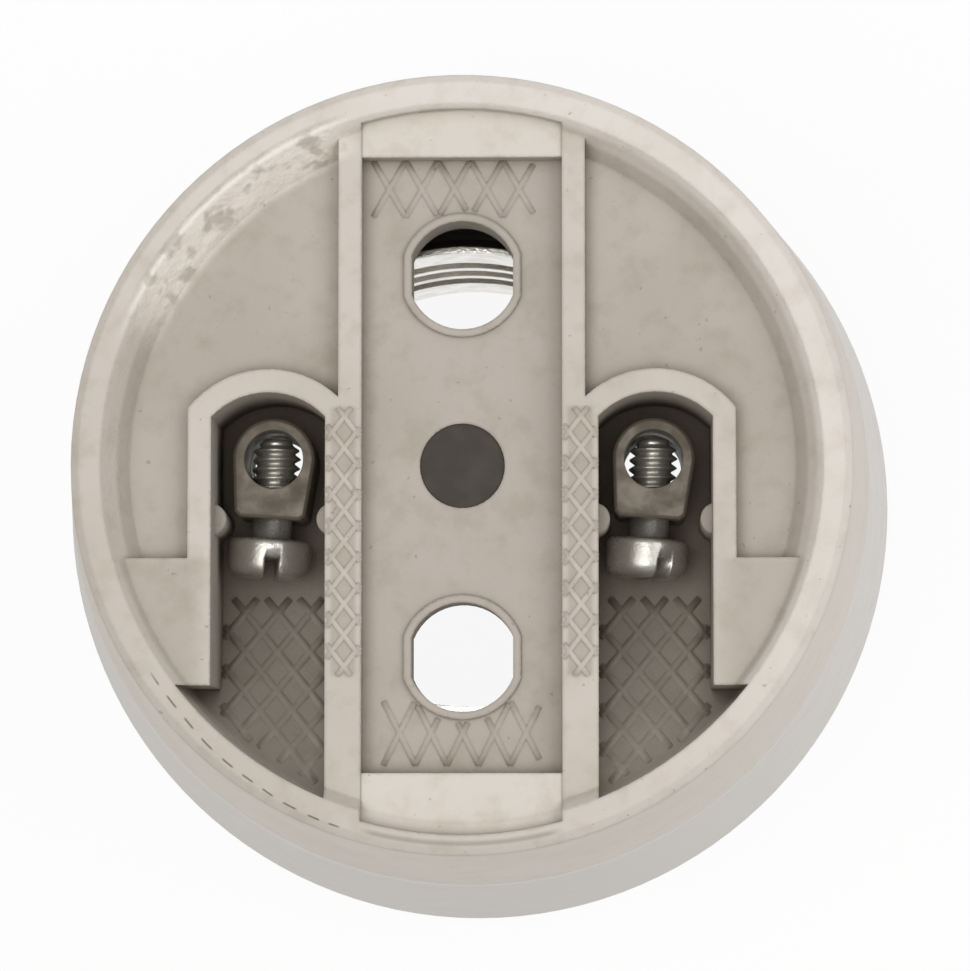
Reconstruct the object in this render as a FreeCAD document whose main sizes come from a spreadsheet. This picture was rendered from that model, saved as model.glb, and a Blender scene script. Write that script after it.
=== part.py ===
"""Porcelain E27 lampholder with a rolled screw shell, seen and built with its terminal side up.

It stands on its mouth. Z = 0 is the mouth, the lamp screws in from below, and the bracket side is the
top face. X runs across the two terminals and Y runs along the bracket channel. All sizes are millimetres.
"""
import FreeCAD, Part
import os

import Sketcher
from FreeCAD import Placement, Rotation, Vector

doc = FreeCAD.newDocument("lampholder")

# ---------------------------------------------------------------------------------------------
# Driving dimensions
# ---------------------------------------------------------------------------------------------

SIZES = {
    # outside of the porcelain
    "total_height": 37.0,
    "rim_radius": 20.3,
    "mouth_radius": 24.0,
    "rim_edge_bevel": 0.4,
    "mouth_edge_bevel": 1.1,
    # lamp side of the porcelain
    "face_thickness": 11.4,
    "cavity_radius": 14.3,
    "flare_radius": 17.6,
    "flare_depth": 6.0,
    "flare_edge_bevel": 0.6,
    # relief of the terminal face, each depth counted down from the rim
    "recess_depth": 2.0,
    "recess_radius": 18.75,
    "recess_bevel": 1.35,
    "land_depth": 0.8,
    "channel_width": 10.45,
    "channel_length": 32.1,
    "channel_depth": 2.3,
    "slim_rib_width": 1.2,
    "upper_seat_length": 1.75,
    "lower_seat_length": 2.48,
    "seat_depth": 0.9,
    # terminal wells and the chutes that lead the screwdriver to them
    "well_inner_x": 7.1,
    "well_outer_x": 13.05,
    "well_peak_y": 3.75,
    "well_arch_radius": 4.1,
    "well_depth": 9.2,
    "well_wall": 1.2,
    "shelf_start_y": -4.9,
    "shelf_end_y": -11.5,
    "chute_start_y": -6.5,
    "guide_radius": 0.85,
    "guide_reach": 0.6,
    "guide_y": -2.7,
    "guide_depth": 3.6,
    # fixing slots for the bracket screws
    "slot_spacing": 20.0,
    "slot_length": 5.7,
    "slot_width": 5.3,
    "slot_lip_width": 0.4,
    "slot_lip_height": 0.2,
    "slot_web": 3.0,
    "head_room_radius": 4.15,
    # terminals
    "terminal_x": 10.0,
    "terminal_y": 0.5,
    "terminal_turn": 4.0,
    "block_width": 4.3,
    "block_foot_width": 3.7,
    "block_foot_y": 3.1,
    "block_height": 5.1,
    "block_corner_bevel": 0.25,
    "block_edge_bevel": 0.15,
    "wire_hole_radius": 1.55,
    "tail_radius": 1.9,
    "tail_flange_radius": 2.2,
    "tail_flange_height": 0.35,
    "clamp_height": 2.7,
    # clamp screws
    "screw_radius": 1.45,
    "neck_radius": 1.05,
    "neck_length": 1.0,
    "screw_head_radius": 2.2,
    "screw_head_height": 2.1,
    "screw_head_bevel": 0.4,
    "screw_point_radius": 0.6,
    "screw_point_length": 0.9,
    "neck_sunk": 0.4,
    "driver_slot_width": 0.8,
    "driver_slot_depth": 1.1,
    "neutral_slot_turn": 8.0,
    "live_slot_turn": 26.0,
    # screw shell
    "shell_bore_radius": 12.3,
    "shell_wall": 0.35,
    "shell_height": 18.6,
    "thread_depth": 1.1,
    "thread_pitch": 3.629,
    "thread_turns": 2.5,
    "thread_width": 2.9,
    "shell_foot_inset": 5.1,
    "shell_window_width": 10.0,
    "shell_window_height": 3.6,
    # centre contact and its rivet
    "contact_thickness": 0.5,
    "contact_width": 6.0,
    "contact_end_round": 2.0,
    "contact_end_x": 12.0,
    "contact_fold_x": 5.0,
    "contact_bend_radius": 0.6,
    "contact_drop": 3.4,
    "contact_flat": 2.3,
    "contact_tip": 1.4,
    "dome_radius": 2.2,
    "dome_height": 0.7,
    "rivet_radius": 1.5,
    "rivet_head_radius": 2.15,
    "rivet_head_height": 0.9,
    "rivet_web": 3.4,
    "centre_hole_radius": 2.22,
    "seal_recess": 0.15,
    # fits
    "running_gap": 0.05,
    "point_gap": 0.2,
}

sheet = doc.addObject("Spreadsheet::Sheet", "Sizes")
for row, (alias, number) in enumerate(SIZES.items(), start=1):
    sheet.set(f"A{row}", alias)
    sheet.set(f"B{row}", str(number))
    sheet.setAlias(f"B{row}", alias)
doc.recompute()


class Size:
    """A number together with the sheet expression that gives it, so that geometry can be bound to it."""

    def __init__(self, value, text):
        self.value = float(value)
        self.text = text

    @staticmethod
    def of(other):
        return other if isinstance(other, Size) else Size(other, repr(float(other)))

    def __add__(self, other):
        other = Size.of(other)
        return Size(self.value + other.value, f"({self.text} + {other.text})")

    def __sub__(self, other):
        other = Size.of(other)
        return Size(self.value - other.value, f"({self.text} - {other.text})")

    def __mul__(self, other):
        other = Size.of(other)
        return Size(self.value * other.value, f"({self.text} * {other.text})")

    def __truediv__(self, other):
        other = Size.of(other)
        return Size(self.value / other.value, f"({self.text} / {other.text})")

    def __neg__(self):
        return Size(-self.value, f"(0 - {self.text})")

    def __radd__(self, other):
        return Size.of(other) + self

    def __rsub__(self, other):
        return Size.of(other) - self

    def __rmul__(self, other):
        return Size.of(other) * self


def size(alias):
    """The sheet's cell of that name."""
    return Size(sheet.get(alias), f"Sizes.{alias}")


def root(number):
    return Size(number.value ** 0.5, f"sqrt({number.text})")


def other_leg(hypotenuse, leg):
    """The third side of a right-angled triangle."""
    return root(hypotenuse * hypotenuse - leg * leg)


TOP = size("total_height")
RECESS_FLOOR = TOP - size("recess_depth")
LAND_TOP = TOP - size("land_depth")
CHANNEL_FLOOR = TOP - size("channel_depth")
SOCKET_FLOOR = TOP - size("face_thickness")
WELL_FLOOR = TOP - size("well_depth")
SIDES = {"neutral": -1, "live": 1}

# ---------------------------------------------------------------------------------------------
# Helpers
# ---------------------------------------------------------------------------------------------


def bind(target, prop, value):
    """Binds one property to a size."""
    target.setExpression(prop, Size.of(value).text)


def origin_feature(body, role):
    return next(f for f in body.Origin.OriginFeatures if f.Role == role)


def new_body(label):
    body = doc.addObject("PartDesign::Body", label)
    body.Label = label
    return body


def place(body, x=0, y=0, z=0):
    """Sets where a body stands."""
    for axis, value in zip("xyz", (x, y, z)):
        bind(body, f"Placement.Base.{axis}", value)


def new_sketch(body, name, role="XY_Plane", offset=0):
    """A sketch on one of the body's own origin planes, moved along that plane's normal."""
    sketch = body.newObject("Sketcher::SketchObject", name)
    sketch.AttachmentSupport = [(origin_feature(body, role), "")]
    sketch.MapMode = "FlatFace"
    bind(sketch, "AttachmentOffset.Base.z", offset)
    return sketch


def constrain(sketch, kind, *picks, value):
    """Adds one dimension and binds it to its size."""
    value = Size.of(value)
    index = sketch.addConstraint(Sketcher.Constraint(kind, *picks, value.value))
    sketch.setExpression(f"Constraints[{index}]", value.text)


def hold_point(sketch, geometry, end, x, y):
    """Fixes one end of a line or arc at a place counted from the sketch's origin."""
    constrain(sketch, "DistanceX", -1, 1, geometry, end, value=x)
    constrain(sketch, "DistanceY", -1, 1, geometry, end, value=y)


def draw_profile(sketch, start, steps):
    """Draws a closed profile. A step is (x, y) for a line, or (x, y, centre x, centre y, radius) for an arc."""
    here = tuple(Size.of(v) for v in start)
    first = sketch.GeometryCount
    for step in steps:
        step = tuple(Size.of(v) for v in step)
        a = Vector(here[0].value, here[1].value, 0)
        b = Vector(step[0].value, step[1].value, 0)
        if len(step) == 2:
            sketch.addGeometry(Part.LineSegment(a, b), False)
        else:
            centre = Vector(step[2].value, step[3].value, 0)
            outward = (a + b) * 0.5 - centre
            middle = centre + outward.normalize() * step[4].value
            sketch.addGeometry(Part.Arc(a, middle, b), False)
        here = step
    for index, step in enumerate(steps):
        geometry = first + index
        following = first + (index + 1) % len(steps)
        end = end_of(sketch, geometry, step)
        sketch.addConstraint(
            Sketcher.Constraint("Coincident", geometry, end, following, start_of(sketch, following, steps, first))
        )
        hold_point(sketch, geometry, end, step[0], step[1])
        if len(step) > 2:
            constrain(sketch, "Radius", geometry, value=step[4])


def near(point, x, y):
    return abs(point.x - x.value) < 1e-6 and abs(point.y - y.value) < 1e-6


def end_of(sketch, geometry, step):
    """Which end of a drawn line or arc (1 or 2) lies where the step ends."""
    x, y = Size.of(step[0]), Size.of(step[1])
    return 2 if near(sketch.getPoint(geometry, 2), x, y) else 1


def start_of(sketch, geometry, steps, first):
    return 3 - end_of(sketch, geometry, steps[geometry - first])


def draw_circle(sketch, x, y, radius):
    x, y, radius = Size.of(x), Size.of(y), Size.of(radius)
    geometry = sketch.addGeometry(Part.Circle(Vector(x.value, y.value, 0), Vector(0, 0, 1), radius.value), False)
    hold_point(sketch, geometry, 3, x, y)
    constrain(sketch, "Radius", geometry, value=radius)


def draw_rectangle(sketch, left, right, bottom, top):
    draw_profile(sketch, (left, bottom), [(right, bottom), (right, top), (left, top), (left, bottom)])


def feature(body, kind, name, sketch, **bound):
    """A sketch-based feature whose lengths are bound by name."""
    made = body.newObject(f"PartDesign::{kind}", name)
    made.Profile = sketch
    for prop, value in bound.items():
        bind(made, prop, value)
    return made


def pad(body, name, sketch, length):
    return feature(body, "Pad", name, sketch, Length=length)


def pocket(body, name, sketch, depth, upward=False):
    """Cuts down into the solid from the sketch, or up into it."""
    made = feature(body, "Pocket", name, sketch, Length=depth)
    made.Reversed = upward
    return made


def turn(body, name, sketch, kind="Revolution"):
    """Turns an upright profile about the sketch's own vertical axis."""
    made = feature(body, kind, name, sketch)
    made.ReferenceAxis = (sketch, ["V_Axis"])
    made.Angle = 360
    return made


def edges_where(body, test):
    """Names of the body's present edges that pass a test on their vertices' positions and themselves."""
    doc.recompute()
    shape = body.Tip.Shape
    return [f"Edge{i}" for i, edge in enumerate(shape.Edges, start=1) if test(edge)]


def at_height(edge, height):
    """Whether an edge lies flat at that height."""
    box = edge.BoundBox
    return abs(box.ZMin - height.value) < 1e-5 and abs(box.ZMax - height.value) < 1e-5


def dress_edges(body, kind, name, amount, test):
    """Rounds (Fillet) or bevels (Chamfer) the edges that pass a test."""
    base = body.Tip
    names = edges_where(body, test)
    made = body.newObject(f"PartDesign::{kind}", name)
    made.Base = (base, names)
    bind(made, {"Fillet": "Radius", "Chamfer": "Size"}[kind], amount)
    return made


# ---------------------------------------------------------------------------------------------
# Porcelain body
# ---------------------------------------------------------------------------------------------


def turned_profile(body):
    """The half section of the porcelain before its face is shaped: a cone with a stepped socket."""
    sketch = new_sketch(body, "turned_section", "XZ_Plane")
    rim, rim_bevel = size("rim_radius"), size("rim_edge_bevel")
    mouth, mouth_bevel = size("mouth_radius"), size("mouth_edge_bevel")
    flare, flare_bevel = size("flare_radius"), size("flare_edge_bevel")
    draw_profile(
        sketch,
        (0, TOP),
        [
            (rim - rim_bevel, TOP),
            (rim, TOP - rim_bevel),
            (mouth, mouth_bevel * 2),
            (mouth - mouth_bevel / 4, mouth_bevel),
            (mouth - mouth_bevel, 0),
            (flare + flare_bevel, 0),
            (flare, flare_bevel),
            (size("cavity_radius"), size("flare_depth")),
            (size("cavity_radius"), SOCKET_FLOOR),
            (0, SOCKET_FLOOR),
            (0, TOP),
        ],
    )
    turn(body, "turned_form", sketch)


def face_recess(body):
    """The shallow dish of the terminal face, with its sloping edge."""
    sketch = new_sketch(body, "recess_section", "XZ_Plane")
    edge = size("recess_radius")
    draw_profile(
        sketch,
        (0, TOP),
        [(edge, TOP), (edge - size("recess_bevel"), RECESS_FLOOR), (0, RECESS_FLOOR), (0, TOP)],
    )
    turn(body, "face_recess", sketch, "Groove")


def arch_centre():
    return (size("well_inner_x") + size("well_outer_x")) / 2, size("well_peak_y") - size("well_arch_radius")


def lands(body, side):
    """The ribs, the arched wall round the well and the shelf beside it, raised from the recess floor."""
    sketch = new_sketch(body, f"land_plan_{side}", offset=RECESS_FLOOR)
    s = SIDES[side]
    inner = size("channel_width") / 2
    slim = inner + size("slim_rib_width")
    arch_x, arch_y = arch_centre()
    wall = size("well_wall")
    arch = size("well_arch_radius") + wall
    leg = size("well_outer_x") + wall
    reach = (size("recess_radius") + size("rim_radius")) / 2
    shelf_top, shelf_end = size("shelf_start_y"), size("shelf_end_y")
    wide = size("well_inner_x")
    draw_profile(
        sketch,
        (inner * s, other_leg(reach, inner)),
        [
            (slim * s, other_leg(reach, slim)),
            (slim * s, arch_y + other_leg(arch, arch_x - slim)),
            (leg * s, arch_y + other_leg(arch, leg - arch_x), arch_x * s, arch_y, arch),
            (leg * s, shelf_top),
            (other_leg(reach, shelf_top) * s, shelf_top),
            (other_leg(reach, shelf_end) * s, shelf_end, 0, 0, reach),
            (wide * s, shelf_end),
            (wide * s, 0 - other_leg(reach, wide)),
            (inner * s, 0 - other_leg(reach, inner)),
            (inner * s, other_leg(reach, inner)),
        ],
    )
    pad(body, f"land_{side}", sketch, LAND_TOP - RECESS_FLOOR)


def seat_outline(sketch, sign, length):
    """Plan of one end of the channel, where the bracket passes over the rim."""
    half, start = size("channel_width") / 2, size("channel_length") / 2
    corner = start + length
    reach = root(half * half + corner * corner)
    draw_profile(
        sketch,
        (half, start * sign),
        [
            (half, corner * sign),
            (0 - half, corner * sign, 0, 0, reach),
            (0 - half, start * sign),
            (half, start * sign),
        ],
    )


def bracket_channel(body):
    """The channel that takes the mounting bracket, and the raised seats at its two ends."""
    seat_top = TOP - size("seat_depth")
    for name, sign in (("upper", 1), ("lower", -1)):
        length = size(f"{name}_seat_length")
        raised = new_sketch(body, f"{name}_seat_plan", offset=RECESS_FLOOR)
        seat_outline(raised, sign, length)
        pad(body, f"{name}_seat", raised, seat_top - RECESS_FLOOR)
        cleared = new_sketch(body, f"{name}_seat_top_plan", offset=TOP)
        seat_outline(cleared, sign, length)
        pocket(body, f"{name}_seat_top", cleared, size("seat_depth"))
    sketch = new_sketch(body, "channel_plan", offset=RECESS_FLOOR)
    half, end = size("channel_width") / 2, size("channel_length") / 2
    draw_rectangle(sketch, 0 - half, half, 0 - end, end)
    pocket(body, "channel", sketch, RECESS_FLOOR - CHANNEL_FLOOR)


def well(body, side):
    """The arched pocket that a terminal stands in."""
    sketch = new_sketch(body, f"well_plan_{side}", offset=TOP)
    s = SIDES[side]
    inner, outer = size("well_inner_x"), size("well_outer_x")
    arch_x, arch_y = arch_centre()
    arch = size("well_arch_radius")
    spring = arch_y + other_leg(arch, (outer - inner) / 2)
    foot = size("chute_start_y")
    draw_profile(
        sketch,
        (inner * s, foot),
        [
            (inner * s, spring),
            (outer * s, spring, arch_x * s, arch_y, arch),
            (outer * s, foot),
            (inner * s, foot),
        ],
    )
    pocket(body, f"well_{side}", sketch, TOP - WELL_FLOOR)


def chute(body, side):
    """The widening trough below a well. Its floor is a scoop that curves up to the rim."""
    core = new_body(f"chute_core_{side}")
    sketch = new_sketch(core, f"chute_plan_{side}", offset=WELL_FLOOR)
    s = SIDES[side]
    inner, outer = size("well_inner_x"), size("well_outer_x")
    edge = size("recess_radius")
    foot, step = size("chute_start_y"), size("shelf_end_y")
    draw_profile(
        sketch,
        (inner * s, foot),
        [
            (outer * s, foot),
            (outer * s, step),
            (other_leg(edge, step) * s, step),
            (inner * s, 0 - other_leg(edge, inner), 0, 0, edge),
            (inner * s, foot),
        ],
    )
    pad(core, f"chute_block_{side}", sketch, TOP - WELL_FLOOR)
    scoop = new_sketch(core, f"chute_scoop_{side}", "YZ_Plane", 0 - edge)
    end = 0 - other_leg(edge, inner)
    run, rise = foot - end, RECESS_FLOOR - WELL_FLOOR
    radius = (run * run + rise * rise) / (rise * 2)
    draw_profile(
        scoop,
        (foot, WELL_FLOOR),
        [
            (end, RECESS_FLOOR, foot, WELL_FLOOR + radius, radius),
            (end, WELL_FLOOR - 1),
            (foot, WELL_FLOOR - 1),
            (foot, WELL_FLOOR),
        ],
    )
    pocket(core, f"chute_under_{side}", scoop, edge * 2, upward=True)
    made = body.newObject("PartDesign::Boolean", f"chute_{side}")
    made.Type = "Cut"
    made.addObjects([core])


def guides(body, side):
    """Half-round ridges on both walls of a well, level with the screw's neck."""
    sketch = new_sketch(body, f"guide_plan_{side}", offset=WELL_FLOOR)
    s = SIDES[side]
    radius, reach = size("guide_radius"), size("guide_reach")
    for x in (size("well_inner_x") - radius + reach, size("well_outer_x") + radius - reach):
        draw_circle(sketch, x * s, size("guide_y"), radius)
    pad(body, f"guides_{side}", sketch, TOP - size("guide_depth") - WELL_FLOOR)


def double_flat(sketch, centre_y, width, length):
    """A circle of that length with two flats that width apart."""
    radius, half = length / 2, width / 2
    rise = other_leg(radius, half)
    draw_profile(
        sketch,
        (half, centre_y - rise),
        [
            (half, centre_y + rise),
            (0 - half, centre_y + rise, 0, centre_y, radius),
            (0 - half, centre_y - rise),
            (half, centre_y - rise, 0, centre_y, radius),
        ],
    )


def fixing_slots(body):
    """Two flat-sided holes with a soft lip, and the wells for the screw heads on the lamp side."""
    lip = size("slot_lip_width") * 2
    for name, sign in (("upper", 1), ("lower", -1)):
        y = size("slot_spacing") / 2 * sign
        raised = new_sketch(body, f"{name}_lip_plan", offset=CHANNEL_FLOOR)
        double_flat(raised, y, size("slot_width") + lip, size("slot_length") + lip)
        pad(body, f"{name}_lip", raised, size("slot_lip_height"))
        opening = new_sketch(body, f"{name}_slot_plan", offset=TOP)
        double_flat(opening, y, size("slot_width"), size("slot_length"))
        pocket(body, f"{name}_slot", opening, TOP - SOCKET_FLOOR + 1)
        head = new_sketch(body, f"{name}_head_room_plan", offset=SOCKET_FLOOR)
        draw_circle(head, 0, y, size("head_room_radius"))
        pocket(body, f"{name}_head_room", head, CHANNEL_FLOOR - size("slot_web") - SOCKET_FLOOR, upward=True)


def rivet_hole(body):
    """The centre hole: wide from the bracket side, narrow through to the socket."""
    wide = new_sketch(body, "centre_hole_plan", offset=CHANNEL_FLOOR)
    draw_circle(wide, 0, 0, size("centre_hole_radius"))
    pocket(body, "centre_hole", wide, CHANNEL_FLOOR - SOCKET_FLOOR - size("rivet_web"))
    narrow = new_sketch(body, "rivet_hole_plan", offset=TOP)
    draw_circle(narrow, 0, 0, size("rivet_radius") + size("running_gap"))
    pocket(body, "rivet_hole", narrow, TOP - SOCKET_FLOOR + 1)


def tail_holes(body):
    """Round passages under the terminal blocks."""
    sketch = new_sketch(body, "tail_hole_plan", offset=TOP)
    for s in SIDES.values():
        draw_circle(sketch, size("terminal_x") * s, size("terminal_y"), size("tail_radius") + size("running_gap"))
    pocket(body, "tail_holes", sketch, TOP - SOCKET_FLOOR + 1)


def porcelain_body():
    body = new_body("porcelain_body")
    turned_profile(body)
    face_recess(body)
    for side in SIDES:
        lands(body, side)
    bracket_channel(body)
    for side in SIDES:
        well(body, side)
    for side in SIDES:
        chute(body, side)
        guides(body, side)
    fixing_slots(body)
    rivet_hole(body)
    tail_holes(body)
    return body


# ---------------------------------------------------------------------------------------------
# Terminals
# ---------------------------------------------------------------------------------------------


def terminal_block(side, clamped):
    """A pillar terminal. Its tubular tail passes through the porcelain and is rolled over what it clamps.

    Its own origin is the centre of the wire hole, on the block's underside.
    """
    body = new_body(f"{side}_terminal_block")
    half, foot_half, foot = size("block_width") / 2, size("block_foot_width") / 2, size("block_foot_y")
    plan = new_sketch(body, f"{side}_block_plan")
    draw_profile(
        plan,
        (foot_half, 0 - foot),
        [
            (half, 0),
            (0, half, 0, 0, half),
            (0 - half, 0, 0, 0, half),
            (0 - foot_half, 0 - foot),
            (foot_half, 0 - foot),
        ],
    )
    pad(body, f"{side}_block", plan, size("block_height"))
    dress_edges(
        body,
        "Chamfer",
        f"{side}_block_corners",
        size("block_corner_bevel"),
        lambda edge: edge.BoundBox.ZLength > 1 and edge.CenterOfMass.y < -foot.value + 1e-4,
    )
    dress_edges(
        body,
        "Chamfer",
        f"{side}_block_face_edge",
        size("block_edge_bevel"),
        lambda edge: at_height(edge, size("block_height")),
    )
    rolled = WELL_FLOOR - SOCKET_FLOOR + clamped
    tail = new_sketch(body, f"{side}_tail_plan")
    draw_circle(tail, 0, 0, size("tail_radius"))
    pad(body, f"{side}_tail", tail, rolled).Reversed = True
    flange = new_sketch(body, f"{side}_flange_plan", offset=0 - rolled)
    draw_circle(flange, 0, 0, size("tail_flange_radius"))
    pad(body, f"{side}_flange", flange, size("tail_flange_height")).Reversed = True
    wire = new_sketch(body, f"{side}_wire_hole_plan", offset=size("block_height"))
    draw_circle(wire, 0, 0, size("wire_hole_radius"))
    pocket(body, f"{side}_wire_hole", wire, size("block_height") + rolled + size("tail_flange_height") + 1)
    tapped = new_sketch(body, f"{side}_tapped_hole_section", "XZ_Plane", foot)
    draw_circle(tapped, 0, size("clamp_height"), size("screw_radius") + size("running_gap"))
    pocket(body, f"{side}_tapped_hole", tapped, foot)
    place(body, size("terminal_x") * SIDES[side], size("terminal_y"), WELL_FLOOR)
    turn_clockwise(body)
    return body


def turn_clockwise(body):
    """Turns a terminal piece in its well, as tightening has left it."""
    body.Placement = Placement(body.Placement.Base, Rotation(Vector(0, 0, 1), -1))
    bind(body, "Placement.Rotation.Angle", 0 - size("terminal_turn"))


def clamp_screw(side):
    """The slotted screw that closes on the wire. Its own origin is where its axis crosses the wire hole's."""
    body = new_body(f"{side}_clamp_screw")
    section = new_sketch(body, f"{side}_screw_section")
    radius, neck, head = size("screw_radius"), size("neck_radius"), size("screw_head_radius")
    point, bevel = size("screw_point_radius"), size("screw_head_bevel")
    tip = other_leg(size("wire_hole_radius"), point) - size("point_gap")
    under_head = size("block_foot_y") + size("neck_length")
    head_end = under_head + size("screw_head_height")
    draw_profile(
        section,
        (0, tip),
        [
            (point, tip),
            (radius, tip - size("screw_point_length")),
            (radius, 0 - size("block_foot_y") + size("neck_sunk")),
            (neck, 0 - size("block_foot_y") + size("neck_sunk")),
            (neck, 0 - under_head),
            (head - bevel, 0 - under_head),
            (head, 0 - under_head - bevel),
            (head, 0 - head_end + bevel),
            (head - bevel, 0 - head_end),
            (0, 0 - head_end),
            (0, tip),
        ],
    )
    turn(body, f"{side}_screw_form", section)
    slot = new_sketch(body, f"{side}_driver_slot_plan", "XZ_Plane", head_end)
    slot.AttachmentOffset = Placement(slot.AttachmentOffset.Base, Rotation(Vector(0, 0, 1), 1))
    bind(slot, "AttachmentOffset.Rotation.Angle", size(f"{side}_slot_turn"))
    draw_rectangle(slot, 0 - size("driver_slot_width") / 2, size("driver_slot_width") / 2, 0 - head - 1, head + 1)
    pocket(body, f"{side}_driver_slot", slot, size("driver_slot_depth"))
    place(body, size("terminal_x") * SIDES[side], size("terminal_y"), WELL_FLOOR + size("clamp_height"))
    turn_clockwise(body)
    return body


# ---------------------------------------------------------------------------------------------
# Lamp contacts
# ---------------------------------------------------------------------------------------------


def helix(body, name, kind, sketch):
    """Runs a tooth round the body's upright axis for the whole length of the thread."""
    made = body.newObject(f"PartDesign::{kind}", name)
    made.Profile = sketch
    made.ReferenceAxis = (sketch, ["V_Axis"])
    made.Mode = "pitch-turns-angle"
    bind(made, "Pitch", size("thread_pitch"))
    bind(made, "Turns", size("thread_turns"))
    return made


def tooth(sketch, base, tip, width, middle):
    """A pointed thread tooth, from one radius out to another."""
    draw_profile(
        sketch,
        (base, middle - width / 2),
        [
            (tip, middle),
            (base, middle + width / 2),
            (base, middle - width / 2),
        ],
    )


def screw_shell():
    """The rolled E27 shell: one sheet whose thread stands out behind as it sinks in front."""
    body = new_body("screw_shell")
    bore, wall = size("shell_bore_radius"), size("shell_wall")
    end = SOCKET_FLOOR - size("shell_height")
    section = new_sketch(body, "shell_section", "XZ_Plane")
    draw_rectangle(section, bore, bore + wall, end, SOCKET_FLOOR)
    turn(body, "shell_tube", section)
    low = end + (size("shell_height") - size("thread_turns") * size("thread_pitch")) / 2
    depth, width = size("thread_depth"), size("thread_width")
    overlap = wall / 2
    ridge = new_sketch(body, "ridge_section", "XZ_Plane")
    tooth(ridge, bore + wall - overlap, bore + wall + depth, width + wall, low)
    helix(body, "thread_ridge", "AdditiveHelix", ridge)
    groove = new_sketch(body, "groove_section", "XZ_Plane")
    tooth(groove, bore - overlap, bore + depth, width, low)
    helix(body, "thread_groove", "SubtractiveHelix", groove)
    foot = new_sketch(body, "shell_foot_plan", offset=SOCKET_FLOOR)
    edge = bore + wall - size("shell_foot_inset")
    rim = bore + wall / 2
    draw_profile(
        foot,
        (0 - edge, other_leg(rim, edge)),
        [
            (0 - rim, 0, 0, 0, rim),
            (0 - edge, 0 - other_leg(rim, edge), 0, 0, rim),
            (0 - edge, other_leg(rim, edge)),
        ],
    )
    pad(body, "shell_foot", foot, wall).Reversed = True
    hole = new_sketch(body, "shell_foot_hole_plan", offset=SOCKET_FLOOR)
    draw_circle(hole, 0 - size("terminal_x"), size("terminal_y"), size("tail_radius") + size("running_gap"))
    pocket(body, "shell_foot_hole", hole, wall + 1)
    window = new_sketch(body, "shell_window_section", "YZ_Plane", bore - 1)
    side = size("shell_window_width") / 2
    draw_rectangle(window, 0 - side, side, SOCKET_FLOOR - size("shell_window_height"), SOCKET_FLOOR + 1)
    pocket(body, "shell_window", window, wall + size("thread_depth") + 2, upward=True)
    return body


def centre_contact():
    """One folded strip: its base runs from the centre to the live tail and its tongue springs to the lamp."""
    body = new_body("centre_contact")
    thick, bend, width = size("contact_thickness"), size("contact_bend_radius"), size("contact_width")
    outer = bend + thick
    fold, end = size("contact_fold_x"), size("contact_end_x")
    flat, tip = size("contact_flat"), size("contact_tip")
    low = SOCKET_FLOOR - size("contact_drop") - thick
    axis = SOCKET_FLOOR - outer
    section = new_sketch(body, "contact_section", "XZ_Plane", 0 - width / 2)
    draw_profile(
        section,
        (end, SOCKET_FLOOR),
        [
            (0 - fold, SOCKET_FLOOR),
            (0 - fold - outer, axis, 0 - fold, axis, outer),
            (0 - fold, axis - outer, 0 - fold, axis, outer),
            (0 - flat, low),
            (flat, low),
            (flat + tip, low + tip / 2),
            (flat + tip, low + tip / 2 + thick),
            (flat, low + thick),
            (0 - flat, low + thick),
            (0 - fold, axis - bend),
            (0 - fold - bend, axis, 0 - fold, axis, bend),
            (0 - fold, axis + bend, 0 - fold, axis, bend),
            (end, SOCKET_FLOOR - thick),
            (end, SOCKET_FLOOR),
        ],
    )
    pad(body, "contact_strip", section, width)
    dress_edges(
        body,
        "Fillet",
        "contact_end_round",
        size("contact_end_round"),
        lambda edge: edge.BoundBox.ZLength > 0.1 and edge.CenterOfMass.x > end.value - 1e-4,
    )
    dome = new_sketch(body, "dome_section", "XZ_Plane")
    radius, height = size("dome_radius"), size("dome_height")
    ball = (radius * radius + height * height) / (2 * height)
    draw_profile(
        dome,
        (0, low),
        [(radius, low), (0, low - height, 0, low - height + ball, ball), (0, low)],
    )
    turn(body, "contact_dome", dome)
    holes = new_sketch(body, "contact_holes_plan", offset=SOCKET_FLOOR)
    gap = size("running_gap")
    draw_circle(holes, 0, 0, size("rivet_radius") + gap)
    draw_circle(holes, size("terminal_x"), size("terminal_y"), size("tail_radius") + gap)
    pocket(body, "contact_holes", holes, thick)
    return body


def centre_rivet():
    """Holds the contact to the porcelain: a flat head down the centre hole and a closed end on the strip."""
    body = new_body("centre_rivet")
    section = new_sketch(body, "rivet_section", "XZ_Plane")
    seat = SOCKET_FLOOR + size("rivet_web")
    strip = SOCKET_FLOOR - size("contact_thickness")
    shank, head, height = size("rivet_radius"), size("rivet_head_radius"), size("rivet_head_height")
    draw_profile(
        section,
        (0, seat + height),
        [
            (head, seat + height),
            (head, seat),
            (shank, seat),
            (shank, strip),
            (head, strip),
            (head, strip - height / 2),
            (head - height / 2, strip - height),
            (0, strip - height),
            (0, seat + height),
        ],
    )
    turn(body, "rivet_form", section)
    return body


def centre_seal():
    """Sealing compound that closes the centre hole over the rivet's head."""
    body = new_body("centre_seal")
    bottom = SOCKET_FLOOR + size("rivet_web") + size("rivet_head_height")
    plan = new_sketch(body, "seal_plan", offset=bottom)
    draw_circle(plan, 0, 0, size("centre_hole_radius"))
    pad(body, "seal_plug", plan, CHANNEL_FLOOR - size("seal_recess") - bottom)
    return body


made = [
    porcelain_body(),
    screw_shell(),
    centre_contact(),
    centre_rivet(),
    centre_seal(),
    terminal_block("neutral", size("shell_wall")),
    terminal_block("live", size("contact_thickness")),
    clamp_screw("neutral"),
    clamp_screw("live"),
]

# ---------------------------------------------------------------------------------------------
# Checks and export
# ---------------------------------------------------------------------------------------------

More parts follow.
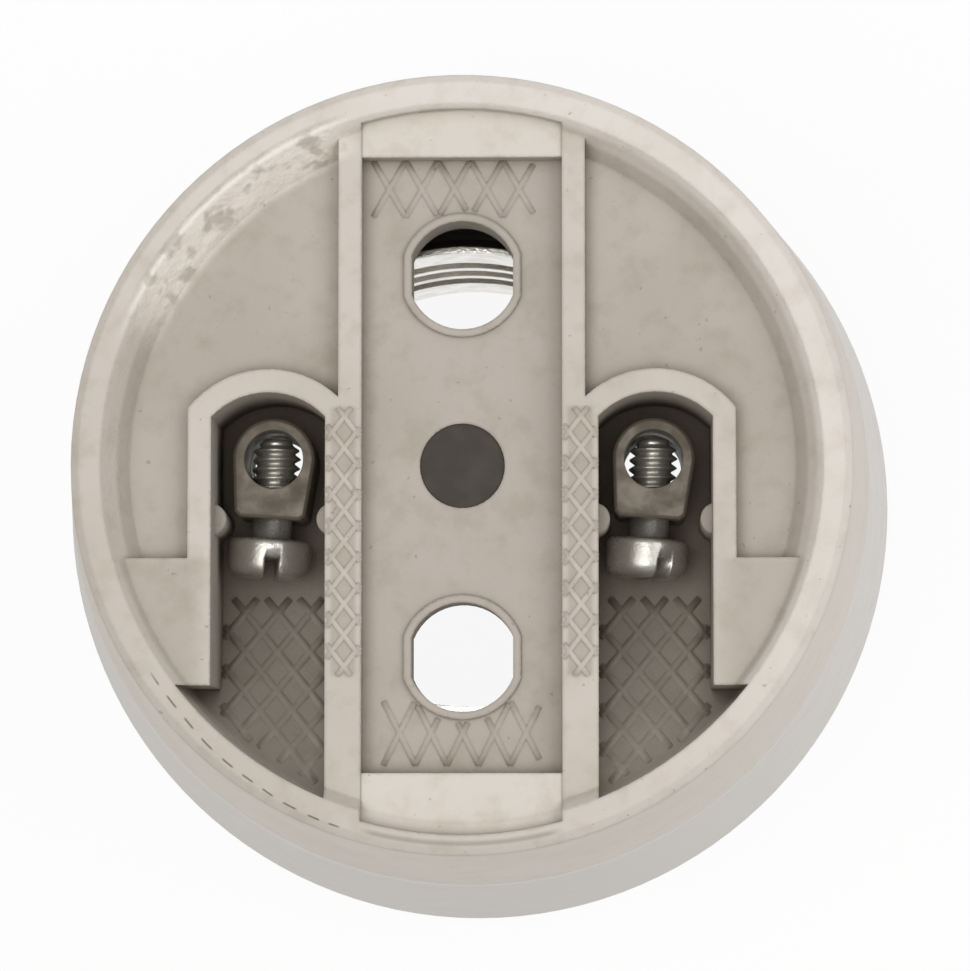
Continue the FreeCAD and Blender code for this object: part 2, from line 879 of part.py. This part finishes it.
doc.recompute()
for thing in doc.Objects:
    if "Invalid" in thing.State or "Error" in thing.State:
        raise RuntimeError(f"{thing.Label}: {thing.State}")
os.makedirs("parts", exist_ok=True)
for thing in made:
    if thing.Shape.isNull() or not thing.Shape.isValid():
        raise RuntimeError(f"{thing.Label} has no valid shape")
    thing.Shape.exportStep(f"parts/{thing.Label}.step")
    print(thing.Label, len(thing.Shape.Solids), "solid", round(thing.Shape.Volume, 2), "mm3")
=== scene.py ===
"""The looks of the porcelain lamp holder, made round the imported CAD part.

It adds the materials, the relief pressed into the porcelain, the threads of the clamp screws, the light and
the camera. Lengths are millimetres here, turned to metres by MM where Blender is given them.
"""

import math

import bmesh
import bpy
from mathutils import Matrix, Vector

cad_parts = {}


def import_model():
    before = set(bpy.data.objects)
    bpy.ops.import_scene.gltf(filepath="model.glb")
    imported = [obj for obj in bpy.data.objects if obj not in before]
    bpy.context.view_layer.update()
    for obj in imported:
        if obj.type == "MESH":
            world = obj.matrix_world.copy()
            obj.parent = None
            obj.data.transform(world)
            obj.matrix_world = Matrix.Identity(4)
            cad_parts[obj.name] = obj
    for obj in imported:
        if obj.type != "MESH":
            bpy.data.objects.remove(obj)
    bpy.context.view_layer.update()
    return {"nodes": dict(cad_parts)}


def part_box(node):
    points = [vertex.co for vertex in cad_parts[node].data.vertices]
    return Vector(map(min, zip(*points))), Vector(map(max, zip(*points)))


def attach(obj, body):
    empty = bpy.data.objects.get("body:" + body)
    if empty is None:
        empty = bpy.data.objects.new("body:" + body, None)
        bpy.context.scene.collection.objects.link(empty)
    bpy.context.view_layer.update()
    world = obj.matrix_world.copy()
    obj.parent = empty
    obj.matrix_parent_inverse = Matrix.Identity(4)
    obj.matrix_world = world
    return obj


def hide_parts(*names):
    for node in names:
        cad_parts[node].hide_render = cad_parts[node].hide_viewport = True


MM = 0.001

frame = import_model()

# Heights of the porcelain's faces, counted down from its rim as in the CAD.
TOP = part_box("porcelain_body")[1].z / MM
LAND_TOP = TOP - 0.8
RECESS_FLOOR = TOP - 2.0
CHANNEL_FLOOR = TOP - 2.3
WELL_FLOOR = TOP - 9.2
GLAZE_TOP = 21.5

# Plan of the terminal face.
RECESS_EDGE = 18.75
CHANNEL_HALF = 5.2
WELL_INNER, WELL_OUTER = 7.1, 13.05
SHELF_START = -4.9
CHUTE_START = -6.5
SLOT_Y = 10.0
TERMINAL_X, TERMINAL_Y = 10.0, 0.5
TERMINAL_TURN = math.radians(4)
SIDES = {"neutral": -1, "live": 1}


# ---------------------------------------------------------------------------------------------
# Node materials
# ---------------------------------------------------------------------------------------------


BEVEL_SAMPLES = 4
CREVICE_SAMPLES = 3


class Recipe:
    """Short-hand for building one material from nodes."""

    def __init__(self, name):
        self.material = bpy.data.materials.new(name)
        self.material.use_nodes = True
        self.tree = self.material.node_tree
        self.surface = self.tree.nodes["Principled BSDF"]

    def feed(self, socket, value):
        """Links a node's output to the socket, or sets a plain value on it."""
        if isinstance(value, bpy.types.NodeSocket):
            self.tree.links.new(value, socket)
        else:
            socket.default_value = value

    def node(self, kind, output=0, settings=None, **inputs):
        made = self.tree.nodes.new(f"ShaderNode{kind}")
        for key, value in (settings or {}).items():
            setattr(made, key, value)
        for key, value in inputs.items():
            self.feed(made.inputs[key.replace("_", " ")], value)
        return made.outputs[output]

    def math(self, operation, *values):
        made = self.tree.nodes.new("ShaderNodeMath")
        made.operation = operation
        for socket, value in zip(made.inputs, values):
            self.feed(socket, value)
        return made.outputs[0]

    def times(self, *values):
        """All the values multiplied together."""
        product = values[0]
        for value in values[1:]:
            product = self.math("MULTIPLY", product, value)
        return product

    def place(self):
        """Where a point is on the object, in the frame that the pieces share."""
        return self.node("TexCoord", output="Object")

    def noise(self, grain, detail=3.0, rough=0.5, where=None):
        """Noise from 0 to 1 whose features are about grain millimetres across."""
        return self.node(
            "TexNoise", Vector=where or self.place(), Scale=1.0 / (grain * MM), Detail=detail, Roughness=rough
        )

    def step(self, value, low, high, start=0.0, end=1.0):
        """Goes smoothly from start to end as value goes from low to high."""
        made = self.tree.nodes.new("ShaderNodeMapRange")
        made.interpolation_type = "SMOOTHSTEP"
        for name, number in (("From Min", low), ("From Max", high), ("To Min", start), ("To Max", end)):
            made.inputs[name].default_value = number
        self.feed(made.inputs["Value"], value)
        return made.outputs["Result"]

    def between(self, value, rise, fall):
        """1 between two edges and 0 outside them. Each edge is the pair of places that it fades over."""
        return self.times(self.step(value, *rise), self.step(value, *fall, 1.0, 0.0))

    def mix(self, amount, first, second, blend="MIX"):
        made = self.tree.nodes.new("ShaderNodeMix")
        made.data_type = "RGBA"
        made.blend_type = blend
        self.feed(made.inputs["Factor"], amount)
        self.feed(made.inputs["A"], first)
        self.feed(made.inputs["B"], second)
        return made.outputs["Result"]

    def stained(self, amount, colour, stain):
        """The colour, multiplied by the stain where the amount is 1."""
        return self.mix(amount, colour, self.mix(1.0, colour, stain, "MULTIPLY"))

    def split(self, vector):
        made = self.tree.nodes.new("ShaderNodeSeparateXYZ")
        self.feed(made.inputs[0], vector)
        return made.outputs

    def bump(self, height, distance, normal=None):
        """Raises the surface by distance millimetres where height is 1."""
        made = self.tree.nodes.new("ShaderNodeBump")
        made.inputs["Distance"].default_value = distance * MM
        self.feed(made.inputs["Height"], height)
        if normal:
            self.feed(made.inputs["Normal"], normal)
        return made.outputs[0]

    def softened(self, radius):
        """The normal of the surface with its edges rounded to radius millimetres."""
        return self.node("Bevel", settings={"samples": BEVEL_SAMPLES}, Radius=radius * MM)

    def crevice(self, reach):
        """1 on open surfaces, down to 0 in corners within reach millimetres."""
        settings = {"samples": CREVICE_SAMPLES}
        return self.node("AmbientOcclusion", output="AO", settings=settings, Distance=reach * MM)

    def blend_vectors(self, amount, first, second):
        """Goes from the first vector to the second as amount goes from 0 to 1."""
        made = self.tree.nodes.new("ShaderNodeMix")
        made.data_type = "VECTOR"
        for name, value in (("Factor", amount), ("A", first), ("B", second)):
            self.feed(made.inputs[name], value)
        return made.outputs["Result"]

    def finish(self, **inputs):
        for key, value in inputs.items():
            self.feed(self.surface.inputs[key.replace("_", " ")], value)
        return self.material


def tint(red, green, blue):
    """A node colour from the 0 to 255 values that it should show on screen."""
    def linear(value):
        value = value / 255
        return value / 12.92 if value <= 0.04045 else ((value + 0.055) / 1.055) ** 2.4

    return (linear(red), linear(green), linear(blue), 1.0)


def spread(*places):
    """Places in millimetres, as the metres that the nodes read."""
    return tuple(place * MM for place in places)


def turns(*angles):
    """Angles in degrees, as the radians that the nodes read."""
    return tuple(math.radians(angle) for angle in angles)


class Porcelain(Recipe):
    """Bare pressed porcelain with a soft warm mottle, chips, specks and dust, painted shade in its hollows
    and crevices, painted light on the chipped slope and the wall, and a thin glaze on the lower wall.
    """

    def __init__(self):
        super().__init__("porcelain")
        self.x, self.y, self.z = self.split(self.place())
        self.across = self.math("ABSOLUTE", self.x)
        squares = self.math("ADD", self.times(self.x, self.x), self.times(self.y, self.y))
        self.radius = self.math("SQRT", squares)
        self.angle = self.math("ARCTAN2", self.y, self.x)
        self.cloudy = self.noise(9.0, 2.0)
        self.mottle = self.noise(1.6, 4.0, 0.6)
        self.crumbs = self.noise(1.9, 3.0, 0.5)
        # tone: the rim and the glazed wall are darker towards the lower left and paler towards the upper
        # right.
        self.tone = self.step(self.math("ADD", self.x, self.y), *spread(-30, 22))
        in_recess = self.step(self.radius, *spread(RECESS_EDGE - 0.35, RECESS_EDGE + 0.15), 1.0, 0.0)
        self.outside = self.step(self.radius, *spread(RECESS_EDGE - 0.15, RECESS_EDGE + 0.05))
        below_lands = self.step(self.z, *spread(LAND_TOP - 0.5, LAND_TOP - 0.15), 1.0, 0.0)
        below_rim = self.step(self.z, *spread(LAND_TOP + 0.1, TOP - 0.2), 1.0, 0.0)
        self.floors = self.times(in_recess, below_lands)
        self.lands = self.times(in_recess, below_rim)
        self.chipped = self.times(
            self.between(self.radius, spread(16.8, 17.6), spread(18.9, 19.3)),
            self.between(self.angle, turns(106, 114), turns(148, 162)),
        )
        self.glaze, self.glaze_edge_and_highlight = self.glaze_masks()

    def glaze_masks(self):
        """Where the glaze lies, and its upper edge, which wanders a little and is painted paler: partly the
        glaze's own edge, partly a painted highlight along the crest.
        """
        wander = self.times(self.math("SUBTRACT", self.noise(3.0), 0.5), 1.2 * MM)
        height = self.math("ADD", self.z, wander)
        under_edge = self.step(height, *spread(GLAZE_TOP - 0.15, GLAZE_TOP + 0.15), 1.0, 0.0)
        glaze = self.times(under_edge, self.outside)
        return glaze, self.times(self.step(height, *spread(GLAZE_TOP - 1.5, GLAZE_TOP)), glaze)

    def bare_colour(self):
        """The rim is palest and the ribs and seats are rubbed; the floors and shelves are dull and darker, as
        dust and painted shade in the recess.
        """
        clean = self.mix(self.tone, tint(192, 184, 174), tint(222, 215, 208))
        clouds = self.step(self.cloudy, 0.35, 0.65)
        clean = self.mix(self.times(clouds, 0.4), clean, tint(210, 203, 194))
        rubbed = self.mix(clouds, tint(195, 187, 177), tint(203, 195, 186))
        # dull: the floors' tone, darker for dust and as painted shade in the recess.
        dull = self.mix(clouds, tint(176, 168, 158), tint(183, 175, 166))
        colour = self.mix(self.lands, clean, rubbed)
        colour = self.mix(self.floors, colour, dull)
        seat = self.times(
            self.step(self.across, *spread(CHANNEL_HALF - 0.1, CHANNEL_HALF + 0.1), 1.0, 0.0),
            self.lands,
            self.step(self.z, *spread(LAND_TOP - 0.4, LAND_TOP - 0.2)),
        )
        colour = self.mix(seat, colour, tint(214, 207, 198))
        # Painted shade between the ridges of the rib hatch, darkest at their foot.
        hatch_foot_shade = self.times(
            self.between(self.across, spread(5.35, 5.65), spread(6.65, 6.95)),
            self.between(self.y, spread(-11.2, -10.8), spread(2.8, 3.1)),
            self.step(self.z, *spread(LAND_TOP + 0.02, LAND_TOP + 0.08), 0.75, 0.0),
        )
        colour = self.mix(hatch_foot_shade, colour, tint(172, 164, 153))
        # The shelf beside each well takes a floor-like tone: dust and painted shade.
        shelf = self.times(
            self.step(self.across, *spread(WELL_OUTER - 0.45, WELL_OUTER + 1.35)),
            self.lands,
            self.step(self.y, *spread(SHELF_START - 0.3, SHELF_START + 0.3), 1.0, 0.0),
        )
        colour = self.mix(shelf, colour, tint(180, 172, 162))
        return self.stained(self.step(self.mottle, 0.45, 0.75, 0.0, 0.5), colour, tint(232, 227, 220))

    def well_dust_and_shade(self, colour):
        """The wells are darker towards their floor, as dust and painted shade, and darkest in their corners,
        as painted shade from an occlusion node.
        """
        depth = self.times(self.step(self.z, *spread(WELL_FLOOR, TOP - 5), 1.0, 0.0), self.floors)
        colour = self.stained(self.times(depth, 0.3), colour, tint(160, 153, 143))
        # Painted shade in the well corners, from the occlusion node.
        corners = self.times(self.step(self.crevice(5.0), 0.1, 0.8, 1.0, 0.0), depth)
        return self.stained(corners, colour, tint(168, 160, 148))

    def chips(self, colour):
        """The crumbled slope at the upper left: a cream break with dull pits. The cream is made paler than
        the break itself, as painted light against the shade on the slope.
        """
        pits = self.step(self.noise(1.2, 2.0, 0.5), 0.34, 0.5, 1.0, 0.0)
        # Painted light: the cream is paler than the break to lift the slope's shade.
        colour = self.mix(self.times(self.chipped, 0.9), colour, tint(238, 231, 222))
        return self.mix(self.times(pits, self.chipped, 0.6), colour, tint(168, 158, 144))

    def seam_crevice_shade(self, colour):
        """The broken dark line along the rim at the lower left, which drifts outwards as it goes round:
        painted shade of a fine crevice along the mould seam.
        """
        start = math.radians(144)
        drift = self.times(self.math("ADD", self.angle, start), 0.81 * MM)
        wander = self.times(self.math("SUBTRACT", self.noise(4.0, 1.0), 0.5), 0.25 * MM)
        place = self.math("ADD", self.math("SUBTRACT", self.radius, drift), wander)
        beat = self.math("ADD", self.times(self.angle, 92.0), self.times(self.cloudy, 14.0))
        # Painted shade of the seam's crevice.
        line = self.times(
            self.between(place, spread(19.34, 19.38), spread(19.44, 19.48)),
            self.between(self.angle, turns(-148, -143), turns(-110, -106)),
            self.step(self.math("SINE", beat), -0.5, 0.4),
            self.step(self.z, *spread(TOP - 0.6, TOP - 0.5)),
        )
        return self.mix(self.times(line, 0.8), colour, tint(100, 92, 82))

    def seat_crevice_shade(self, colour):
        """The soft dark arc on the rim below the lower seat: painted shade of the crevice between seat and
        rim.
        """
        arc_shade = self.times(
            self.between(self.radius, spread(19.45, 19.7), spread(19.72, 19.9)),
            self.step(self.across, *spread(4.4, 5.4), 0.6, 0.0),
            self.step(self.y, *spread(-1, 0), 1.0, 0.0),
        )
        return self.mix(arc_shade, colour, tint(140, 132, 121))

    def dirt_and_corner_shade(self, colour):
        """Small brown specks, and painted shade in the corners."""
        specks = self.step(self.noise(0.45, 2.0, 0.5), 0.72, 0.76)
        colour = self.mix(self.times(specks, 0.4), colour, tint(120, 108, 96))
        # Painted shade in the corners, darkest where the occlusion node finds them.
        open_surface = self.step(self.crevice(0.9), 0.2, 0.9)
        return self.mix(open_surface, self.mix(1.0, colour, tint(205, 200, 192), "MULTIPLY"), colour)

    def wall(self, colour):
        """The wall is a little paler than the rim, as painted light that lifts the shade on this sideways
        face, and greyer and glossy under the glaze.
        """
        # Painted light: the bare wall is made paler to stand in for light on it.
        below_rim = self.times(self.outside, self.step(self.z, *spread(TOP - 1.5, TOP - 0.3), 0.5, 0.0))
        colour = self.mix(below_rim, colour, tint(232, 226, 219))
        glazed = self.mix(self.tone, tint(178, 172, 164), tint(206, 201, 194))
        glazed = self.mix(self.step(self.mottle, 0.4, 0.7, 0.0, 0.5), glazed, tint(188, 182, 174))
        # A paler band along the glaze's upper edge, partly a painted highlight.
        glazed = self.mix(self.times(self.glaze_edge_and_highlight, 0.5), glazed, tint(214, 209, 202))
        return self.mix(self.glaze, colour, glazed)

    def surface_normal(self):
        """A fine grain, lumps where it is chipped, and neither under the glaze."""
        rounded = self.softened(0.28)
        grain = self.math("ADD", self.noise(0.22, 3.0, 0.6), self.times(self.mottle, 1.5))
        relief = self.bump(grain, 0.035, rounded)
        relief = self.bump(self.times(self.crumbs, self.chipped), 0.4, relief)
        return self.blend_vectors(self.glaze, relief, rounded)

    def build(self):
        colour = self.bare_colour()
        for layer in (self.well_dust_and_shade, self.chips, self.seam_crevice_shade, self.seat_crevice_shade, self.dirt_and_corner_shade, self.wall):
            colour = layer(colour)
        roughness = self.step(self.glaze, 0.0, 1.0, 0.78, 0.34)
        return self.finish(Base_Color=colour, Roughness=roughness, Normal=self.surface_normal())


def metal(name, light, dark, rough, soften=0.12, metallic=1.0, grain=0.35):
    """Plated metal with dull patches, softened edges and a faint grain."""
    recipe = Recipe(name)
    patches = recipe.noise(grain * 4, 4.0, 0.6)
    fine = recipe.noise(grain * 0.4, 2.0, 0.5)
    colour = recipe.mix(recipe.step(patches, 0.35, 0.7), light, dark)
    roughness = recipe.step(patches, 0.3, 0.7, rough * 0.8, min(1.0, rough * 1.35))
    normal = recipe.bump(fine, 0.012, recipe.softened(soften))
    return recipe.finish(Base_Color=colour, Roughness=roughness, Metallic=metallic, Normal=normal)


def compound():
    """The matt dark filling over the rivet."""
    recipe = Recipe("seal_compound")
    fine = recipe.noise(0.3, 3.0)
    colour = recipe.mix(recipe.step(recipe.noise(1.4, 2.0), 0.4, 0.7), tint(66, 61, 55), tint(74, 69, 62))
    normal = recipe.bump(fine, 0.02, recipe.softened(0.1))
    return recipe.finish(Base_Color=colour, Roughness=0.9, Normal=normal)


MATERIALS = {
    "porcelain_body": Porcelain().build(),
    "screw_shell": metal("nickel_steel", tint(238, 235, 228), tint(226, 222, 214), 0.2),
    "centre_contact": metal("nickel_bronze", tint(206, 198, 182), tint(186, 176, 158), 0.3),
    "centre_rivet": metal("nickel_brass", tint(200, 190, 170), tint(176, 165, 144), 0.35),
    "centre_seal": compound(),
}
# The terminals' dark tone is partly painted shade: it stands in for the shade that falls on them in the
# wells.
terminal_metal = metal("terminal_metal", tint(116, 108, 97), tint(110, 102, 91), 0.6, metallic=0.5)
screw_steel = metal("screw_steel", tint(196, 194, 187), tint(176, 173, 165), 0.3, metallic=0.85)
for side in SIDES:
    MATERIALS[f"{side}_terminal_block"] = terminal_metal
    MATERIALS[f"{side}_clamp_screw"] = screw_steel

for node, material in MATERIALS.items():
    for slot in frame["nodes"][node].material_slots:
        slot.material = material


# ---------------------------------------------------------------------------------------------
# Relief pressed into the porcelain
# ---------------------------------------------------------------------------------------------


def new_object(name, mesh, body, material):
    """A smooth-shaded piece that rides on a body and takes the material that it is given."""
    obj = bpy.data.objects.new(name, mesh)
    bpy.context.scene.collection.objects.link(obj)
    obj.data.materials.append(material)
    for polygon in obj.data.polygons:
        polygon.use_smooth = True
    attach(obj, body)
    return obj


def clipped(start, end, left, right, bottom, top):
    """The stretch of a line inside a rectangle, or None."""
    low, high = 0.0, 1.0
    step = end - start
    for offset, slope, least, most in (
        (start.x, step.x, left, right),
        (start.y, step.y, bottom, top),
    ):
        a, b = sorted(((least - offset) / slope, (most - offset) / slope))
        low, high = max(low, a), min(high, b)
    if high - low < 1e-3:
        return None
    return start + step * low, start + step * high


def hatch_lines(left, right, bottom, top, pitch, slope):
    """Both directions of a cross-hatch over a rectangle."""
    width, height = right - left, top - bottom
    reach = height / slope
    count = math.ceil((width + reach) / pitch)
    lines = []
    for index in range(count + 1):
        foot = left - reach + index * pitch
        for a, b in ((foot, foot + reach), (foot + reach, foot)):
            line = clipped(Vector((a, bottom)), Vector((b, top)), left, right, bottom, top)
            if line:
                lines.append(line)
    return lines


def ridge(form, start, end, ground, width, height):
    """A low round-topped ridge along a line on a surface; ground gives the surface's height."""
    along = (end - start).normalized()
    across = Vector((-along.y, along.x)) * width / 2
    profile = [(-1.0, -0.05), (-0.55, 0.8), (0.0, 1.0), (0.55, 0.8), (1.0, -0.05)]
    pieces = max(2, math.ceil((end - start).length / 1.5))
    rings = []
    for index in range(pieces + 1):
        point = start.lerp(end, index / pieces)
        ring = []
        for side, rise in profile:
            spot = point + across * side
            ring.append(form.verts.new((spot.x * MM, spot.y * MM, (ground(spot) + rise * height) * MM)))
        rings.append(ring)
    for one, two in zip(rings, rings[1:]):
        for a, b in zip(range(4), range(1, 5)):
            form.faces.new((one[a], two[a], two[b], one[b]))
    form.faces.new(rings[0])
    form.faces.new(list(reversed(rings[-1])))


def relief(name, lines, ground, width, height):
    """One piece with a ridge along each line."""
    form = bmesh.new()
    for start, end in lines:
        ridge(form, start, end, ground, width, height)
    mesh = bpy.data.meshes.new(name)
    form.to_mesh(mesh)
    form.free()
    new_object(name, mesh, "holder", MATERIALS["porcelain_body"])


# The chute's scoop is an arc that starts level on the well's floor and ends at the recess floor's edge.
CHUTE_RUN = CHUTE_START + math.sqrt(RECESS_EDGE**2 - WELL_INNER**2)
CHUTE_RISE = RECESS_FLOOR - WELL_FLOOR
CHUTE_RADIUS = (CHUTE_RUN**2 + CHUTE_RISE**2) / (2 * CHUTE_RISE)


def chute_height(spot):
    """The height of the scoop below a point."""
    run = max(0.0, CHUTE_START - spot.y)
    return min(RECESS_FLOOR, WELL_FLOOR + CHUTE_RADIUS - math.sqrt(CHUTE_RADIUS**2 - run**2))


def cut_by_circle(lines, centre, radius, keep_inside):
    """The stretches of the lines inside a circle, or those outside it."""
    kept = []
    for start, end in lines:
        step, offset = end - start, start - Vector(centre)
        a, b, c = step.dot(step), offset.dot(step), offset.dot(offset) - radius**2
        root = b * b - a * c
        if root <= 0:
            pieces = [] if keep_inside else [(0.0, 1.0)]
        else:
            near, far = (-b - math.sqrt(root)) / a, (-b + math.sqrt(root)) / a
            pieces = [(near, far)] if keep_inside else [(0.0, near), (far, 1.0)]
        for low, high in pieces:
            low, high = max(0.0, low), min(1.0, high)
            if (high - low) * step.length > 0.3:
                kept.append((start + step * low, start + step * high))
    return kept


LIP_CLEARANCE = 3.45


def channel_hatch(name, slot_y, area, pitch, slope):
    """The hatch at one end of the channel, which stops short of the fixing slot's lip."""
    lines = cut_by_circle(hatch_lines(*area, pitch, slope), (0, slot_y), LIP_CLEARANCE, keep_inside=False)
    relief(name, lines, lambda spot: CHANNEL_FLOOR, 0.36, 0.12)


def rib_hatch(side):
    """The long band on the wide part of a rib, beside the well."""
    left, right = sorted((5.3 * SIDES[side], 7.0 * SIDES[side]))
    lines = hatch_lines(left, right, -11.0, 2.9, 1.25, 1.3)
    relief(f"{side}_rib_hatch", lines, lambda spot: LAND_TOP, 0.34, 0.13)


def chute_hatch(side):
    """The hatch down the scoop, which ends at the edge of the recess."""
    left, right = sorted(((WELL_INNER + 0.1) * SIDES[side], (WELL_OUTER - 0.1) * SIDES[side]))
    lines = hatch_lines(left, right, -16.5, CHUTE_START - 0.1, 1.75, 1.2)
    lines = cut_by_circle(lines, (0, 0), RECESS_EDGE - 0.55, keep_inside=True)
    relief(f"{side}_chute_hatch", lines, chute_height, 0.42, 0.1)


channel_hatch("upper_channel_hatch", SLOT_Y, (-4.7, 3.7, 13.1, 16.0), 1.7, 1.75)
channel_hatch("lower_channel_hatch", -SLOT_Y, (-4.1, 4.0, -15.6, -12.3), 1.65, 2.0)
for side in SIDES:
    rib_hatch(side)
    chute_hatch(side)


# ---------------------------------------------------------------------------------------------
# Threaded clamp screws
# ---------------------------------------------------------------------------------------------

SCREW_HEIGHT = (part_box("live_clamp_screw")[0].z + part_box("live_clamp_screw")[1].z) / 2 / MM
CREST, ROOT, PITCH = 1.27, 0.94, 0.5
POINT, POINT_LENGTH = 0.7, 0.6
NECK, HEAD = 1.05, 2.2
# Stations along the screw's axis, from its point to the end of its head.
TIP, THREAD_END, UNDER_HEAD, HEAD_END = 1.22, -2.7, -4.1, -6.2
LOWER_ROUND, UPPER_ROUND = 0.35, 0.75
DRIVER_SLOT_WIDTH, DRIVER_SLOT_DEPTH = 0.8, 1.1


def lathe(form, stations, around):
    """Rings of points about the Y axis. A station is (y, radius as a function of the angle)."""
    rings = []
    for y, radius in stations:
        ring = []
        for index in range(around):
            angle = math.tau * index / around
            r = radius(angle)
            ring.append(form.verts.new((r * math.cos(angle), y, r * math.sin(angle))))
        rings.append(ring)
    for one, two in zip(rings, rings[1:]):
        for index in range(around):
            following = (index + 1) % around
            form.faces.new((one[index], one[following], two[following], two[index]))
    form.faces.new(list(reversed(rings[0])))
    form.faces.new(rings[-1])


def thread_radius(y, angle):
    """The radius of a right-handed thread with rounded crests and a tapered point."""
    phase = (y / PITCH + angle / math.tau) % 1.0
    tooth = min(1.0, 1.15 * (1 - abs(2 * phase - 1)))
    taper = min(1.0, max(0.0, (TIP - y) / POINT_LENGTH))
    radius = ROOT + (CREST - ROOT) * tooth
    return POINT + (radius - POINT) * taper


def quarter_round(y, radius, size, steps, upward):
    """Stations that round an edge of the head, towards its wide part or away from it."""
    stations = []
    for index in range(0 if upward else 1, steps + 1):
        turn = math.pi / 2 * index / steps
        sine, cosine = size * (1 - math.sin(turn)), size * (1 - math.cos(turn))
        if upward:
            stations.append((y + sine, lambda angle, inset=cosine: radius - inset))
        else:
            stations.append((y - cosine, lambda angle, inset=sine: radius - inset))
    return stations


def screw_stations():
    """The screw's outline from its point to the end of its head."""
    steps = round((TIP - THREAD_END) / PITCH * 10)
    stations = []
    for index in range(steps + 1):
        y = TIP - index * PITCH / 10
        stations.append((y, lambda angle, y=y: thread_radius(y, angle)))
    stations.append((THREAD_END - 0.1, lambda angle: NECK))
    stations.append((UNDER_HEAD + 0.08, lambda angle: NECK))
    stations.append((UNDER_HEAD, lambda angle: NECK + 0.08))
    stations.append((UNDER_HEAD, lambda angle: HEAD - LOWER_ROUND))
    stations += quarter_round(UNDER_HEAD, HEAD, LOWER_ROUND, 6, upward=False)
    return stations + quarter_round(HEAD_END, HEAD, UPPER_ROUND, 7, upward=True)


def loose_object(name, form):
    """An object that only serves a boolean, and is removed after it."""
    mesh = bpy.data.meshes.new(name)
    form.to_mesh(mesh)
    form.free()
    obj = bpy.data.objects.new(name, mesh)
    bpy.context.scene.collection.objects.link(obj)
    return obj


def clamp_screw(side, slot_turn):
    """A slotted M3 screw with its thread, lying where the CAD has its plain core."""
    form = bmesh.new()
    lathe(form, screw_stations(), 56)
    whole = loose_object("whole", form)
    form = bmesh.new()
    bmesh.ops.create_cube(form, size=1.0)
    for vert in form.verts:
        x, y, z = vert.co
        vert.co = Vector((x * DRIVER_SLOT_WIDTH, y * 2 * DRIVER_SLOT_DEPTH + HEAD_END, z * 6))
    bmesh.ops.rotate(form, verts=form.verts, matrix=Matrix.Rotation(slot_turn, 3, "Y"))
    blade = loose_object("blade", form)
    cut = whole.modifiers.new("driver_slot", "BOOLEAN")
    cut.operation = "DIFFERENCE"
    cut.object = blade
    bpy.context.view_layer.update()
    mesh = bpy.data.meshes.new_from_object(whole.evaluated_get(bpy.context.evaluated_depsgraph_get()))
    bpy.data.objects.remove(whole)
    bpy.data.objects.remove(blade)
    mesh.transform(
        Matrix.Translation(Vector((TERMINAL_X * SIDES[side], TERMINAL_Y, SCREW_HEIGHT)) * MM)
        @ Matrix.Rotation(-TERMINAL_TURN, 4, "Z")
        @ Matrix.Scale(MM, 4)
    )
    node = f"{side}_clamp_screw"
    obj = new_object(f"{side}_screw_with_thread", mesh, f"{side}_screw", MATERIALS[node])
    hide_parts(node)


clamp_screw("neutral", math.radians(8))
clamp_screw("live", math.radians(26))


# ---------------------------------------------------------------------------------------------
# Floor, light and camera
# ---------------------------------------------------------------------------------------------


def floor():
    """A pale floor that shows nearly white, and keeps the object's shadow in the rest."""
    bpy.ops.mesh.primitive_plane_add(size=3.0, location=(0, 0, 0))
    plane = bpy.context.object
    plane.name = "floor"
    recipe = Recipe("floor_white")
    ray = recipe.tree.nodes.new("ShaderNodeLightPath")
    seen = recipe.math("MAXIMUM", ray.outputs["Is Camera Ray"], ray.outputs["Is Glossy Ray"])
    seen = recipe.math("MAXIMUM", seen, ray.outputs["Is Transmission Ray"])
    recipe.finish(Base_Color=tint(238, 238, 238), Roughness=0.9)
    glow = recipe.node("Emission", Color=(1, 1, 1, 1), Strength=1.0)
    blend = recipe.tree.nodes.new("ShaderNodeMixShader")
    recipe.feed(blend.inputs[0], recipe.math("MULTIPLY", seen, 0.92))
    recipe.feed(blend.inputs[1], recipe.surface.outputs[0])
    recipe.feed(blend.inputs[2], glow)
    recipe.feed(recipe.tree.nodes["Material Output"].inputs["Surface"], blend.outputs[0])
    plane.data.materials.append(recipe.material)


def softbox(name, place, power):
    """A large square lamp that points at the holder's face. Its place is in metres."""
    data = bpy.data.lights.new(name, "AREA")
    data.shape = "SQUARE"
    data.size = 0.6
    data.energy = power
    lamp = bpy.data.objects.new(name, data)
    lamp.location = place
    lamp.rotation_euler = (Vector((0, 0, 0.03)) - Vector(place)).to_track_quat("-Z", "Y").to_euler()
    bpy.context.scene.collection.objects.link(lamp)


def world(strength):
    """The soft light from all round, a little warm."""
    made = bpy.data.worlds.new("studio")
    made.use_nodes = True
    shade = made.node_tree.nodes["Background"]
    shade.inputs["Color"].default_value = (1.0, 0.985, 0.96, 1.0)
    shade.inputs["Strength"].default_value = strength
    bpy.context.scene.world = made


def camera():
    """Looks down on the terminal face from a quarter of a metre, leaning from the front and the right."""
    spot = Vector((7.7, -20.0, TOP + 251.5)) * MM
    aim = Vector((1.24, -1.21, TOP)) * MM
    back = (spot - aim).normalized()
    right = Vector((0, 1, 0)).cross(back).normalized()
    up = back.cross(right)
    data = bpy.data.cameras.new("camera")
    data.sensor_fit = "HORIZONTAL"
    data.angle = math.radians(11.36)
    data.clip_start = 0.01
    made = bpy.data.objects.new("camera", data)
    made.matrix_world = Matrix.Translation(spot) @ Matrix((right, up, back)).transposed().to_4x4()
    bpy.context.scene.collection.objects.link(made)
    bpy.context.scene.camera = made


floor()
softbox("window", (-0.18, -0.1, 0.95), 4.1)
softbox("fill", (0.55, 0.1, 0.75), 2.0)
world(0.48)
camera()
bpy.context.scene.view_settings.view_transform = "Standard"
